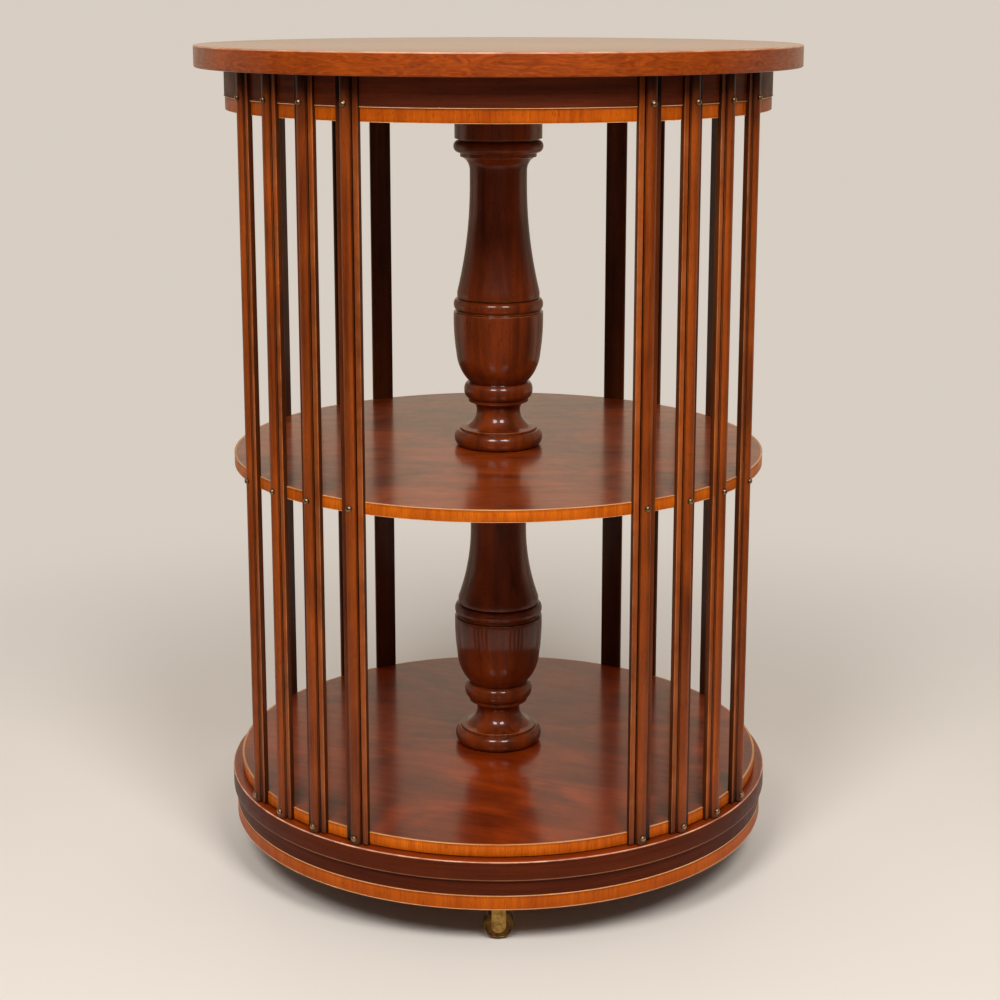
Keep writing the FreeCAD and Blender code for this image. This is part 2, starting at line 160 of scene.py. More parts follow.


# Carries a closed outline of (radius, height, mark of wear and painted light) along arcs (start, end), with
# capped ends.
def sweepArcs(name, outline, arcs, stepAngle=0.02):
    points, faces, wear = [], [], []
    count = len(outline)
    for start, end in arcs:
        steps = max(2, math.ceil((end - start) / stepAngle))
        base = len(points)
        for step in range(steps + 1):
            turn = start + (end - start) * step / steps
            for radius, height, mark in outline:
                points.append((radius * math.cos(turn), radius * math.sin(turn), height))
                wear.append(mark)
        for step in range(steps):
            for index in range(count):
                after = (index + 1) % count
                low, high = base + step * count, base + (step + 1) * count
                faces.append([low + index, high + index, high + after, low + after])
        faces.append([base + index for index in range(count)])
        faces.append([base + steps * count + index for index in reversed(range(count))])
    return meshPiece(name, points, faces, wear)


def boxOutline(inner, outer, low, high):
    return [(inner, low), (outer, low), (outer, high), (inner, high)]


# Puts a piece on its body with its material, in the place of the nodes it stands for.
def finishAs(piece, body, material, slot, *replaced):
    piece.data.materials.append(material)
    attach(piece, body)
    if replaced:
        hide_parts(*replaced)
    return piece


# Shader helpers.

# Linear colour from 0-255 screen values.
def colour(red, green, blue):
    def linear(value):
        value /= 255
        return value / 12.92 if value <= 0.04045 else ((value + 0.055) / 1.055) ** 2.4
    return (linear(red), linear(green), linear(blue), 1.0)


# Links a socket, or sets a plain value.
def feed(tree, socket, value):
    if isinstance(value, bpy.types.NodeSocket):
        tree.links.new(value, socket)
    else:
        socket.default_value = value


# A node with its settings, and its inputs by name or number: sockets are linked, values set.
def addNode(tree, kind, inputs=(), **settings):
    node = tree.nodes.new(kind)
    for key, value in settings.items():
        setattr(node, key, value)
    for key, value in dict(inputs).items():
        feed(tree, node.inputs[key], value)
    return node


def mathNode(tree, operation, first, second=0.0, clamp=False):
    node = addNode(tree, "ShaderNodeMath", {0: first, 1: second}, operation=operation, use_clamp=clamp)
    return node.outputs[0]


def mixColour(tree, share, first, second, blend="MIX"):
    node = addNode(tree, "ShaderNodeMix", data_type="RGBA", blend_type=blend)
    feed(tree, node.inputs["Factor"], share)
    feed(tree, node.inputs[6], first)
    feed(tree, node.inputs[7], second)
    return node.outputs[2]


def mixValue(tree, share, first, second):
    return addNode(tree, "ShaderNodeMix", {"Factor": share, 2: first, 3: second}).outputs[0]


# Darkens or lightens a colour by a grey value.
def shadeColour(tree, tone, grey):
    factor = addNode(tree, "ShaderNodeCombineColor", {0: grey, 1: grey, 2: grey}).outputs[0]
    return mixColour(tree, 1.0, tone, factor, "MULTIPLY")


# Stretches coordinates whose X runs along the grain.
def scaleVector(tree, vector, along, across):
    sizes = addNode(tree, "ShaderNodeCombineXYZ", {0: along, 1: across, 2: across}).outputs[0]
    return addNode(tree, "ShaderNodeVectorMath", {0: vector, 1: sizes}, operation="MULTIPLY").outputs[0]


def noise(tree, vector, scale=1.0, detail=3.0, roughness=0.55, distortion=0.0):
    node = addNode(tree, "ShaderNodeTexNoise", {
        "Vector": vector, "Scale": scale, "Detail": detail, "Roughness": roughness,
        "Distortion": distortion})
    return node.outputs["Fac"]


# Maps low..high to outLow..outHigh, clamped.
def spread(tree, value, low, high, outLow=0.0, outHigh=1.0):
    node = addNode(tree, "ShaderNodeMapRange", {
        "Value": value, "From Min": low, "From Max": high, "To Min": outLow, "To Max": outHigh}, clamp=True)
    return node.outputs[0]


# A shader node group. Inputs are name: default, where a tuple of four is a colour.
def newGroup(name, inputs, outputs):
    tree = bpy.data.node_groups.new(name, "ShaderNodeTree")
    for label, default in inputs.items():
        kind = "NodeSocketFloat"
        if isinstance(default, tuple):
            kind = "NodeSocketColor" if len(default) == 4 else "NodeSocketVector"
        socket = tree.interface.new_socket(name=label, in_out="INPUT", socket_type=kind)
        socket.default_value = default
    for label, kind in outputs.items():
        tree.interface.new_socket(name=label, in_out="OUTPUT", socket_type="NodeSocket" + kind)
    source = tree.nodes.new("NodeGroupInput").outputs
    target = tree.nodes.new("NodeGroupOutput").inputs
    return tree, source, target


# A node group whose inputs come from the call, or else from the look's entries of the same names.
def useGroup(tree, group, look, **inputs):
    node = tree.nodes.new("ShaderNodeGroup")
    node.node_tree = group
    values = {key.capitalize(): value for key, value in look.items()} | inputs
    for socket in node.inputs:
        if socket.name in values:
            feed(tree, socket, values[socket.name])
    return node.outputs


# Node groups shared by the finishes.

# Mahogany-like grain along X: soft stripes, figure, fine fibres and short open pores. The two numbers
# of a stretch are how often it changes in a metre, along and across.
def makeGrainGroup():
    tree, source, target = newGroup("grain", {
        "Vector": (0.0, 0.0, 0.0),
        "Light": (0.5, 0.2, 0.1, 1.0),
        "Dark": (0.2, 0.05, 0.02, 1.0),
        "Pore": (0.05, 0.01, 0.01, 1.0),
        "Length": 3.0,
        "Width": 60.0,
        "Swirl": 0.4,
        "Contrast": 1.0,
        "Figure": 0.5,
        "Pores": 0.5,
    }, {"Color": "Color", "Height": "Float"})
    vector = source["Vector"]
    stripes = noise(tree, scaleVector(tree, vector, source["Length"], source["Width"]),
                    detail=6.0, roughness=0.62, distortion=source["Swirl"])
    stripes = spread(tree, stripes, 0.3, 0.7)
    figure = noise(tree, scaleVector(tree, vector, 9.0, 16.0), detail=2.0, distortion=1.2)
    figure = spread(tree, figure, 0.32, 0.68)
    fibres = noise(tree, scaleVector(tree, vector, 26.0, 950.0), detail=2.0, roughness=0.7)
    streak = noise(tree, scaleVector(tree, vector, 150.0, 2100.0), detail=1.0)
    pores = spread(tree, streak, 0.62, 0.72)
    share = mathNode(tree, "MULTIPLY", mathNode(tree, "SUBTRACT", figure, 0.5), source["Figure"])
    stripes = mathNode(tree, "MULTIPLY", mathNode(tree, "SUBTRACT", stripes, 0.5), source["Contrast"])
    share = mathNode(tree, "ADD", mathNode(tree, "ADD", stripes, 0.5), share, clamp=True)
    tone = mixColour(tree, share, source["Dark"], source["Light"])
    tone = shadeColour(tree, tone, spread(tree, fibres, 0.25, 0.75, 0.84, 1.1))
    poreShare = mathNode(tree, "MULTIPLY", pores, source["Pores"])
    feed(tree, target["Color"], mixColour(tree, poreShare, tone, source["Pore"]))
    height = mathNode(tree, "SUBTRACT", mathNode(tree, "MULTIPLY", fibres, 0.4), poreShare)
    feed(tree, target["Height"], height)
    return tree


# Coordinates unrolled round the upright axis: X along the rim, Y outwards, Z up.
def makeRoundGroup():
    tree, source, target = newGroup("around the rim", {"Vector": (0.0, 0.0, 0.0), "Radius": 0.25},
                                    {"Vector": "Vector"})
    parts = addNode(tree, "ShaderNodeSeparateXYZ", {0: source["Vector"]}).outputs
    back = mathNode(tree, "MULTIPLY", parts[1], -1.0)
    turn = mathNode(tree, "ARCTAN2", parts[0], back)
    along = mathNode(tree, "MULTIPLY", turn, source["Radius"])
    squares = [mathNode(tree, "POWER", parts[axis], 2.0) for axis in (0, 1)]
    out = mathNode(tree, "SQRT", mathNode(tree, "ADD", squares[0], squares[1]))
    unrolled = addNode(tree, "ShaderNodeCombineXYZ", {0: along, 1: out, 2: parts[2]}).outputs[0]
    feed(tree, target["Vector"], unrolled)
    return tree


# Age of a polished surface, with painted light: arrises lighten as wear and painted highlight, the quirks
# and other places marked below zero darken as dark wax and painted shade, and soft clouding.
def makeAgeGroup():
    tree, source, target = newGroup("age", {
        "Vector": (0.0, 0.0, 0.0),
        "Color": (0.5, 0.2, 0.1, 1.0),
        "Worn": (0.6, 0.3, 0.15, 1.0),
        "Grime": (0.03, 0.01, 0.01, 1.0),
        "Wear": 0.5,
        "Dirt": 0.7,
        "Clouding": 0.15,
    }, {"Color": "Color", "Haze": "Float"})
    mark = addNode(tree, "ShaderNodeAttribute", attribute_name="wear").outputs["Fac"]
    patches = spread(tree, noise(tree, source["Vector"], 38.0, 4.0, 0.6), 0.36, 0.62, 0.25, 1.0)
    # marks above zero take the worn colour: wear and painted highlight
    raised = mathNode(tree, "MAXIMUM", mark, 0.0)
    worn = mathNode(tree, "MULTIPLY", mathNode(tree, "MULTIPLY", raised, patches), source["Wear"])
    # marks below zero take the grime colour: dark wax and painted shade
    sunk = mathNode(tree, "MAXIMUM", mathNode(tree, "MULTIPLY", mark, -1.0), 0.0)
    hollow = mathNode(tree, "MULTIPLY", sunk, source["Dirt"])
    clouds = noise(tree, source["Vector"], 11.0, 3.0)
    shade = spread(tree, clouds, 0.3, 0.7, 1.0, 0.0)
    shade = mathNode(tree, "SUBTRACT", 1.0, mathNode(tree, "MULTIPLY", shade, source["Clouding"]))
    tone = mixColour(tree, worn, shadeColour(tree, source["Color"], shade), source["Worn"])
    feed(tree, target["Color"], mixColour(tree, hollow, tone, source["Grime"]))
    rubbed = noise(tree, source["Vector"], 70.0, 5.0, 0.65)
    feed(tree, target["Haze"], mathNode(tree, "ADD", spread(tree, rubbed, 0.35, 0.7), hollow, clamp=True))
    return tree


grainGroup = makeGrainGroup()
roundGroup = makeRoundGroup()
ageGroup = makeAgeGroup()


def newMaterial(name):
    material = bpy.data.materials.new(name)
    material.use_nodes = True
    tree = material.node_tree
    tree.nodes.clear()
    shader = tree.nodes.new("ShaderNodeBsdfPrincipled")
    output = tree.nodes.new("ShaderNodeOutputMaterial")
    tree.links.new(shader.outputs[0], output.inputs[0])
    return material, tree, shader


# Colour, roughness that rises with the haze, and bump.
def feedShader(tree, shader, look, tone, haze, height):
    feed(tree, shader.inputs["Base Color"], tone)
    hazy = look["roughness"] + look["haze"]
    feed(tree, shader.inputs["Roughness"], spread(tree, haze, 0.0, 1.0, look["roughness"], hazy))
    bump = addNode(tree, "ShaderNodeBump", {
        "Height": height, "Strength": look["bump"], "Distance": look["bumpDepth"]})
    feed(tree, shader.inputs["Normal"], bump.outputs[0])


# A polished wood from its dictionary of colours, grain and gloss. The grain runs along X once turned,
# and "round" is the radius of a rim that it follows.
def woodMaterial(name, look):
    material, tree, shader = newMaterial(name)
    vector = addNode(tree, "ShaderNodeTexCoord").outputs["Object"]
    if "round" in look:
        vector = useGroup(tree, roundGroup, look, Vector=vector, Radius=look["round"])[0]
    angles = [math.radians(angle) for angle in look["turn"]]
    vector = addNode(tree, "ShaderNodeMapping", {"Vector": vector, "Rotation": angles}).outputs[0]
    grain = useGroup(tree, grainGroup, look, Vector=vector)
    aged = useGroup(tree, ageGroup, look, Vector=vector, Color=grain["Color"])
    feedShader(tree, shader, look, aged["Color"], aged["Haze"], grain["Height"])
    shader.inputs["Coat Weight"].default_value = look["coat"]
    shader.inputs["Coat Roughness"].default_value = look["coatRoughness"]
    shader.inputs["Coat IOR"].default_value = 1.5
    shader.inputs["Specular IOR Level"].default_value = look["gleam"]
    return material


# Finishes. Lengths and widths of the grain are its frequencies per metre.

polishedMahogany = {
    "light": colour(138, 58, 14), "dark": colour(82, 29, 6), "pore": colour(34, 9, 2),
    "worn": colour(192, 112, 54), "grime": colour(14, 5, 2),
    "turn": (0, 90, 0),     # degrees
    "length": 3.0, "width": 62.0, "swirl": 0.5, "contrast": 1.0, "figure": 0.4, "pores": 0.5,
    "wear": 0.6, "dirt": 0.85, "clouding": 0.12,
    "roughness": 0.38, "haze": 0.12, "bump": 0.2, "bumpDepth": 0.3 * mm, "gleam": 0.1,
    "coat": 0.5, "coatRoughness": 0.12,
}
# very dark grime at nearly full strength darkens the quirks: dark wax and painted shade
slatWood = woodMaterial("slat_mahogany", polishedMahogany | {
    "light": colour(152, 68, 13), "dark": colour(88, 33, 3), "worn": colour(212, 134, 78),
    "grime": colour(26, 6, 1), "wear": 0.7, "dirt": 0.95, "width": 95.0, "coat": 0.28})
# a darker copy of the slat mahogany for the inner faces and sides: painted shade
slatShade = woodMaterial("slat_inner_mahogany", polishedMahogany | {
    "light": colour(92, 42, 11), "dark": colour(54, 21, 4), "worn": colour(110, 56, 24), "width": 95.0,
    "coat": 0.2, "coatRoughness": 0.2})
# near-black grime at full strength darkens the inner corners of the mouldings: dark wax and painted shade
turnedWood = woodMaterial("turned_mahogany", polishedMahogany | {
    "light": colour(130, 51, 11), "dark": colour(68, 23, 4), "grime": colour(10, 3, 1), "width": 55.0,
    "dirt": 1.0, "coat": 0.56, "pores": 0.7})
shelfLook = polishedMahogany | {
    "turn": (0, 0, 0), "light": colour(150, 60, 9), "dark": colour(100, 34, 4), "length": 9.0,
    "width": 140.0, "contrast": 0.5, "figure": 1.0, "clouding": 0.16, "gleam": 0.05, "coat": 0.72,
    "coatRoughness": 0.17}
shelfWood = woodMaterial("shelf_mahogany", shelfLook)
lowerShelfWood = woodMaterial("lower_shelf_mahogany", shelfLook | {
    "turn": (0, 0, 24), "light": colour(148, 53, 5), "dark": colour(99, 30, 2)})
topWood = woodMaterial("top_mahogany", polishedMahogany | {
    "turn": (0, 0, 4), "light": colour(150, 66, 22), "dark": colour(98, 38, 10), "length": 2.6,
    "width": 52.0, "swirl": 0.7, "figure": 0.5, "coat": 0.84, "clouding": 0.14})
# its pale worn colour draws the light line along the edge's upper arris: wear and a painted highlight
burrWood = woodMaterial("edge_burr", polishedMahogany | {
    "round": topRadius, "turn": (0, 0, 0), "light": colour(182, 80, 14), "dark": colour(124, 47, 6),
    "worn": colour(226, 180, 146), "wear": 0.75, "length": 34.0, "width": 170.0, "swirl": 3.0, "figure": 0.3,
    "clouding": 0.14, "coat": 0.35, "coatRoughness": 0.14})
rimLook = polishedMahogany | {
    "round": rimRadius, "turn": (0, 0, 0), "length": 5.0, "width": 150.0, "swirl": 0.3, "figure": 0.15}
# its light worn colour on the arrises of the rim and fascia is wear and a painted highlight
darkWood = woodMaterial("dark_mahogany", rimLook | {
    "light": colour(90, 33, 6), "dark": colour(64, 20, 3), "worn": colour(206, 132, 96), "wear": 0.8,
    "coat": 0.06, "coatRoughness": 0.2, "clouding": 0.06, "gleam": 0.06})
friezeWood = woodMaterial("frieze_mahogany", rimLook | {
    "light": colour(104, 40, 10), "dark": colour(68, 23, 4), "roughness": 0.5, "coat": 0.08,
    "coatRoughness": 0.3})
# its near-white worn colour at full strength draws the light line along the rim's upper arris: a painted
# highlight and wear
ledgeWood = woodMaterial("ledge_mahogany", rimLook | {
    "light": colour(148, 56, 12), "dark": colour(104, 35, 6), "worn": colour(240, 186, 152), "wear": 1.0,
    "length": 6.0, "width": 140.0, "swirl": 0.5, "figure": 0.2})
crossbandLook = polishedMahogany | {
    "round": shelfRadius, "turn": (0, 90, 0), "light": colour(216, 108, 12), "dark": colour(164, 67, 4),
    "pore": colour(84, 30, 4), "worn": colour(222, 132, 60), "grime": colour(50, 18, 6), "gleam": 0.06,
    "length": 12.0, "width": 230.0, "swirl": 0.5, "contrast": 0.7, "figure": 0.6, "pores": 0.9, "coat": 0.1,
    "coatRoughness": 0.14, "clouding": 0.14}
crossbandWood = woodMaterial("crossband", crossbandLook)
# a darker copy of the crossband veneer for the frieze: painted shade
friezeBandWood = woodMaterial("frieze_crossband", crossbandLook | {
    "light": colour(190, 90, 10), "dark": colour(142, 56, 3)})
# a lighter copy of the crossband veneer for the bottom shelf: painted light
lowerBandWood = woodMaterial("lower_crossband", crossbandLook | {
    "light": colour(226, 113, 11), "dark": colour(173, 71, 4)})
plinthBandWood = woodMaterial("plinth_crossband", crossbandLook | {
    "light": colour(202, 96, 8), "dark": colour(156, 63, 3), "contrast": 0.5, "pores": 0.5})
boxwoodLook = polishedMahogany | {
    "round": shelfRadius, "turn": (0, 0, 0), "light": colour(224, 156, 86), "dark": colour(190, 112, 48),
    "pore": colour(120, 72, 36), "worn": colour(248, 214, 176), "grime": colour(90, 50, 24), "wear": 0.8,
    "length": 12.0, "width": 300.0, "figure": 0.3, "pores": 0.2, "coat": 0.4}
boxwood = woodMaterial("boxwood_string", boxwoodLook)
tanString = woodMaterial("tan_string", boxwoodLook | {
    "light": colour(134, 82, 50), "dark": colour(106, 58, 32), "worn": colour(160, 104, 70), "coat": 0.1})
ebonised = woodMaterial("ebonised_string", boxwoodLook | {
    "light": colour(50, 15, 5), "dark": colour(28, 8, 2), "worn": colour(70, 24, 8), "coat": 0.06})
insideWood = woodMaterial("carcase_pine", polishedMahogany | {
    "turn": (0, 0, 3), "light": colour(196, 152, 98), "dark": colour(150, 104, 58),
    "pore": colour(104, 66, 34), "worn": colour(214, 178, 128), "grime": colour(80, 52, 30),
    "width": 34.0, "length": 2.0, "pores": 0.2, "roughness": 0.6, "coat": 0.0, "bump": 0.5})


# Cast or rolled metal with tarnish in patches and brushed scratches.
def metalMaterial(name, look):
    material, tree, shader = newMaterial(name)
    vector = addNode(tree, "ShaderNodeTexCoord").outputs["Object"]
    tarnish = spread(tree, noise(tree, vector, look["patches"], 6.0, 0.68), 0.4, 0.66)
    tone = mixColour(tree, tarnish, look["bright"], look["dull"])
    aged = useGroup(tree, ageGroup, look, Vector=vector, Color=tone, Worn=look["bright"])
    scratches = noise(tree, scaleVector(tree, vector, 300.0, 2600.0), detail=2.0)
    feedShader(tree, shader, look, aged["Color"], tarnish, scratches)
    shader.inputs["Metallic"].default_value = 1.0
    return material


agedBrass = {
    "bright": colour(184, 146, 80), "dull": colour(120, 84, 40), "grime": colour(36, 22, 10),
    "patches": 130.0, "wear": 0.8, "dirt": 0.8, "clouding": 0.2, "roughness": 0.28, "haze": 0.2,
    "bump": 0.12, "bumpDepth": 0.1 * mm,
}
castBrass = metalMaterial("antique_brass", agedBrass)
wheelBrass = metalMaterial("dark_brass", agedBrass | {
    "bright": colour(116, 82, 42), "dull": colour(62, 40, 19), "grime": colour(20, 12, 6),
    "patches": 160.0, "wear": 0.9, "roughness": 0.3})
studBrass = metalMaterial("stud_brass", agedBrass | {
    "bright": colour(180, 144, 106), "dull": colour(88, 62, 44), "grime": colour(18, 11, 7),
    "patches": 420.0, "wear": 0.7, "dirt": 1.0, "roughness": 0.3})
rolledSteel = metalMaterial("rolled_steel", agedBrass | {
    "bright": colour(176, 174, 170), "dull": colour(112, 108, 104), "grime": colour(40, 36, 32),
    "patches": 60.0, "wear": 0.5, "dirt": 0.6, "roughness": 0.36})
print("finishes made")


# Table top.

tableTopLook = {
    "arris": 1.9 * mm,
    "dirtWidth": 2.4 * mm,   # a dark line under the upper arris fades over this width
    "dirt": -0.25,
    # the lower arris darkens: painted shade under the edge
    "underArris": -0.3,
    "arrisSteps": 5,
    "steps": 384,
    "edgeSlope": 0.8,        # faces that look up or down less than this are the burr edge
}


def makeTableTop(look):
    reach = look["arris"] + look["dirtWidth"]
    cleanFoot, cleanTop = topFoot + reach, topFace - reach
    outline = [(0, topFoot), (topRadius, topFoot), (topRadius, cleanFoot), (topRadius, cleanTop),
               (topRadius, topFace), (0, topFace)]
    marked = []
    fine = 0.01 * mm
    for radius, height, mark in roundCorners(outline, look["arris"], look["arrisSteps"]):
        # below the clean band the lower arris takes painted shade
        if height < cleanFoot:
            mark = look["underArris"]
        elif radius > topRadius - fine and height > cleanTop:
            mark = look["dirt"]
        marked.append((radius, height, mark))
    piece = lathe("polished_table_top", marked, look["steps"])
    finishAs(piece, "case", topWood, "figured_mahogany", "table_top")
    piece.data.materials.append(burrWood)
    for face in piece.data.polygons:
        if abs(face.normal.z) < look["edgeSlope"]:
            face.material_index = 1


makeTableTop(tableTopLook)
print("table top made")


# Slats and their studs.

slatLook = {
    "back": 251 * mm,       # radius of the inner face
    "channel": 254 * mm,    # radius of the sunk flat, on the side away from the openings
    "face": 256 * mm,       # radius of the fillet on the other side of the bead
    "crest": 260.5 * mm,    # radius of the bead's crest
    "width": 23 * mm,
    "beadWidth": 10 * mm,
    "quirkWidth": 1.5 * mm,
    "quirkDepth": 1.3 * mm,
    # painted shade on the sunk flat and a painted highlight on the fillet
    "channelWax": -0.5,
    "filletWear": 0.2,
    "feet": [(0, -0.75), (12 * mm, -0.4), (40 * mm, 0.0)],        # painted shade by height above the foot
    "heads": [(-52 * mm, 0.0), (-28 * mm, -0.35), (0, -1.0)],     # and painted shadow of the table top, by depth under the head
    "arris": 0.7 * mm,
    "beadSteps": 14,
    "beadFullness": 0.85,   # under 1 makes the bead fuller than half an ellipse
    "innerSlope": 0.1,      # faces that look outwards less than this get the darker copy: painted shade
}


# Outline across a slat as (outwards, sideways, mark of wear and painted light), anticlockwise. Side, -1 or
# 1, says where the channel lies; its sunk flat takes painted shade and the fillet a painted highlight.
def slatSection(look, side):
    half = look["width"] / 2
    bead = look["beadWidth"] / 2
    quirk, depth = look["quirkWidth"], look["quirkDepth"]
    back, channel, face = look["back"], look["channel"], look["face"]
    rise = look["crest"] - face
    outline = [(back, -half), (channel, -half), (channel, -bead - quirk),
               (channel - depth, -bead - quirk / 2), (channel, -bead), (face, -bead)]
    for step in range(1, look["beadSteps"]):
        turn = math.pi * step / look["beadSteps"]
        outline.append((face + rise * math.sin(turn) ** look["beadFullness"], -bead * math.cos(turn)))
    outline += [(face, bead), (face - depth, bead + quirk / 2), (face, bead + quirk)]
    outline += [(face, half), (back, half)]
    fine = 0.1 * mm
    section = []
    for out, across, mark in roundCorners(outline, look["arris"], closed=True):
        # the quirks take the full grime mark: dark wax and painted shade in the grooves
        inQuirk = bead - fine < abs(across) < bead + quirk + fine
        if inQuirk and out < (channel if across < 0 else face) - fine:
            mark = -1.0
        # the sunk flat darkens with painted shade, the fillet lightens with a painted highlight
        elif across < 0 and abs(out - channel) <= fine:
            mark = look["channelWax"]
        elif across > 0 and abs(out - face) <= fine:
            mark = look["filletWear"]
        section.append((out, across, mark))
    return section if side < 0 else [(out, -across, mark) for out, across, mark in reversed(section)]


def makeSlat(node, look):
    turn = slatAngles[node]
    section = slatSection(look, -1 if math.sin(2 * turn) > 0 else 1)
    across = (math.cos(turn + math.pi / 2), math.sin(turn + math.pi / 2))
    outward = (math.cos(turn), math.sin(turn))
    # the slat darkens towards its foot and under its head: painted shade
    levels = [(slatFoot + rise, dark) for rise, dark in look["feet"]]
    levels += [(slatHead + drop, dark) for drop, dark in look["heads"]]
    points, faces, wear = [], [], []
    count = len(section)
    for height, dark in levels:
        for out, side, mark in section:
            points.append((outward[0] * out + across[0] * side, outward[1] * out + across[1] * side, height))
            wear.append(mark + dark)
    last = (len(levels) - 1) * count
    for base in range(0, last, count):
        for index in range(count):
            after = (index + 1) % count
            faces.append([base + index, base + after, base + count + after, base + count + index])
    faces.append(list(reversed(range(count))))
    faces.append(list(range(last, last + count)))
    piece = meshPiece("moulded_" + node, points, faces, wear)
    finishAs(piece, "case", slatWood, "mahogany", node)
    piece.data.materials.append(slatShade)
    # inner faces and sides take the darker copy: painted shade
    for face in piece.data.polygons:
        if face.normal.x * outward[0] + face.normal.y * outward[1] < look["innerSlope"]:
            face.material_index = 1


for slatNode in slatNodes:
    makeSlat(slatNode, slatLook)

studLook = {
    "radius": 3.1 * mm,
    "rise": 1.7 * mm,
    "collar": 0.45 * mm,
    "sink": 0.8 * mm,       # how far the head reaches into the bead
    "brim": 0.1 * mm,
    "domeFoot": 0.3 * mm,
    "domeSteps": 6,
    "steps": 28,
    "levels": {"top": 737 * mm, "middle": 394.8 * mm, "bottom": 93.8 * mm},
}


# A row of domed stud heads, one on the crest of each slat.
def makeStuds(label, level, look):
    radius, sink, crest = look["radius"], look["sink"], slatLook["crest"]
    # the brim darkens as grime and painted shade where the head meets the bead, and the crown lightens as
    # wear and a painted highlight
    profile = [(0, -sink, -1.0), (radius, -sink, -1.0), (radius, look["brim"], -0.6)]
    for step in range(look["domeSteps"] + 1):
        turn = math.pi / 2 * step / look["domeSteps"]
        out = (radius - look["collar"]) * math.cos(turn)
        height = look["domeFoot"] + look["rise"] * math.sin(turn)
        profile.append((out, height, math.sin(turn)))
    head = lathe("stud", profile, look["steps"])
    points, faces, wear = [], [], []
    marks = [item.value for item in head.data.attributes["wear"].data]
    for node in slatNodes:
        turn = slatAngles[node]
        place = Matrix.Translation((math.cos(turn) * crest, math.sin(turn) * crest, level))
        place = place @ Matrix.Rotation(turn, 4, "Z") @ Matrix.Rotation(math.pi / 2, 4, "Y")
        base = len(points)
        points += [place @ vertex.co for vertex in head.data.vertices]
        faces += [[base + index for index in face.vertices] for face in head.data.polygons]
        wear += marks
    bpy.data.objects.remove(head)
    piece = meshPiece("studs_" + label, points, faces, wear, sharpAngle=50)
    finishAs(piece, "case", studBrass, "antique_brass")


for studLabel, studLevel in studLook["levels"].items():
    makeStuds(studLabel, studLevel, studLook)
print("slats and studs made")


# Crossbands and strings round the boards.

bandLook = {
    "string": 0.6 * mm,      # height of each pale line
    "proud": 0.35 * mm,      # how far the band stands off the board's edge
    "stringProud": 0.5 * mm,
    "friezeProud": 1.5 * mm,     # the frieze's string clears the ring above it
    "depth": 1.4 * mm,
    "slatGap": 11.6 * mm,    # half the width that each slat takes
    "topProud": 0.12 * mm,   # how far the veneers stand above and below the board
    "footProud": 0.05 * mm,
    "footShare": 0.6,        # height of the lower string, as a share of the upper
    "round": 0.25 * mm,
    "roundSteps": 2,
    "fade": 2.6 * mm,        # a band darkens over this width beside the strings
    "darkTop": -0.5,
    "darkFoot": -0.2,
}


# Arcs of the rim between the slats.
def openArcs(radius, halfGap):
    gap = math.asin(halfGap / radius)
    turns = sorted(turn % (2 * math.pi) for turn in slatAngles.values())
    turns.append(turns[0] + 2 * math.pi)
    return [(turn + gap, after - gap) for turn, after in zip(turns, turns[1:])]


def stringOutline(inner, outer, low, high, look):
    return roundCorners(boxOutline(inner, outer, low, high), look["round"], look["roundSteps"], closed=True)


def bandOutline(inner, outer, low, high, look):
    footClean, topClean = low + look["fade"], high - look["fade"]
    outline = [(inner, low), (outer, low), (outer, footClean), (outer, topClean), (outer, high),
               (inner, high)]
    marked = []
    rounded = roundCorners(outline, look["round"], look["roundSteps"], closed=True)
    for out, height in [point[:2] for point in rounded]:
        mark = look["darkTop"] if height > topClean else 0.0
        if height < footClean:
            mark = look["darkFoot"]
        marked.append((out, height, mark))
    return marked


def bandPiece(name, outline, material, arcs):
    finishAs(sweepArcs(name, outline, arcs), "case", material, "mahogany")


# A crossband between two strings on a board's edge, in the bays between the slats.
def bandShelf(node, label, material, look, proud, footString=True):
    low, high = levelsOf(node)
    arcs = openArcs(shelfRadius, look["slatGap"])
    inner, outer = shelfRadius - look["depth"], shelfRadius + look["proud"]
    top, foot = high + look["topProud"], low - look["footProud"]
    bandTop = top - look["string"]
    bandFoot = low + look["string"] * look["footShare"] if footString else foot
    upper = stringOutline(inner, shelfRadius + proud, bandTop, top, look)
    bandPiece(label + "_string_upper", upper, boxwood, arcs)
    bandPiece(label + "_crossband", bandOutline(inner, outer, bandFoot, bandTop, look), material, arcs)
    if footString:
        lower = stringOutline(inner, outer, foot, bandFoot, look)
        bandPiece(label + "_string_lower", lower, boxwood, arcs)


bandShelf("bottom_shelf", "bottom", lowerBandWood, bandLook, bandLook["stringProud"], footString=False)
bandShelf("mid_shelf", "middle", crossbandWood, bandLook, bandLook["stringProud"])
bandShelf("soffit_board", "frieze", friezeBandWood, bandLook, bandLook["friezeProud"])
print("crossbands made")


# Turned balusters.

